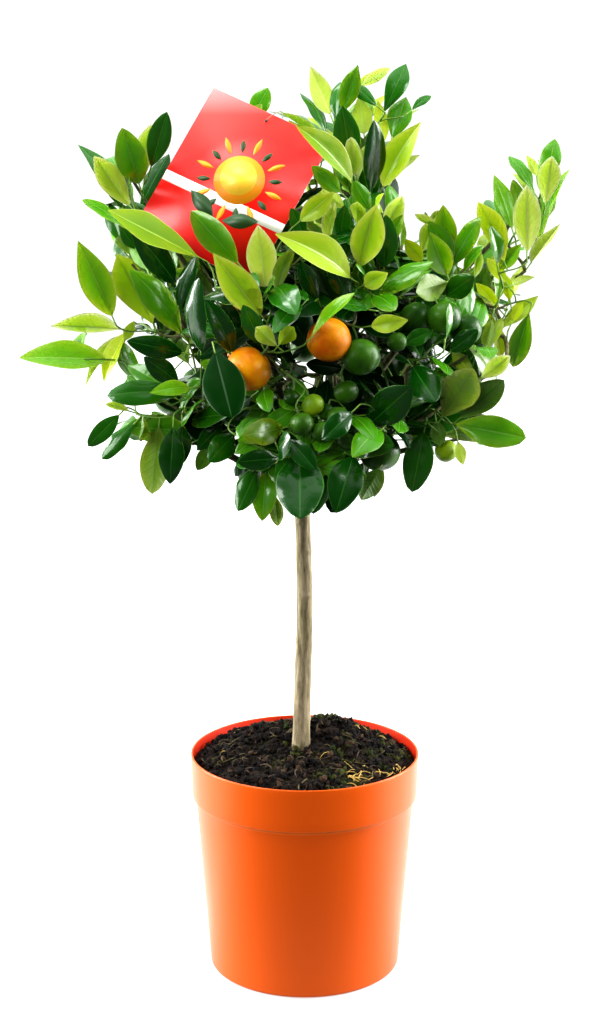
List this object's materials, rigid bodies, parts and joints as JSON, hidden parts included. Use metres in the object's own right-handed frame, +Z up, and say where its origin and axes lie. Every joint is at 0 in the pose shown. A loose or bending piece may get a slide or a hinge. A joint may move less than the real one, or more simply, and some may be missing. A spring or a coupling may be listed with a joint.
{
  "type": "potted calamondin orange tree",
  "caption": "Small citrus tree grown as a standard: bare stem, loose leafy head with fruit and a picture card, in a round plastic nursery pot.",
  "frame": {"origin": "middle of the pot's flat underside, on the surface that the pot stands on", "axes": "+Z up along the stem, +X to the right seen from the front, -Y towards the front, the side with the card"},
  "size_m": [0.4689, 0.387, 0.7867],
  "materials": {
    "pot_plastic": "gloss",
    "peat_soil": "matte",
    "bark": "matte",
    "bough_bark": "matte",
    "card": "gloss",
    "old_leaves": "satin",
    "young_leaves": "satin",
    "ripe_fruit": "satin",
    "green_fruit": "satin"
  },
  "bodies": {
    "root": {"pot": "pot_plastic", "soil": "peat_soil", "trunk": "bark", "bough_upper_left": "bough_bark", "bough_left": "bough_bark", "bough_low_left": "bough_bark", "bough_front": "bough_bark", "bough_middle": "bough_bark", "bough_right": "bough_bark", "bough_right_tower": "bough_bark", "bough_low_right": "bough_bark", "bough_back_left": "bough_bark", "bough_back_right": "bough_bark", "bough_back": "bough_bark", "bough_back_low_left": "bough_bark", "bough_back_low_right": "bough_bark", "label_card": "card", "foliage_upper_left": "young_leaves", "foliage_left": "old_leaves", "foliage_far_left": "young_leaves", "foliage_low_left": "old_leaves", "foliage_front": "old_leaves", "foliage_front_low": "old_leaves", "foliage_low_middle": "old_leaves", "foliage_middle_top": "young_leaves", "foliage_middle": "old_leaves", "foliage_centre_right": "young_leaves", "foliage_right": "old_leaves", "foliage_right_tower": "young_leaves", "foliage_right_young": "young_leaves", "foliage_low_right": "old_leaves", "foliage_behind_card": "old_leaves", "foliage_back": "old_leaves", "foliage_back_left": "old_leaves", "foliage_back_right": "old_leaves", "foliage_back_low_left": "old_leaves", "foliage_back_low_right": "old_leaves"}
  },
  "joints": []
}
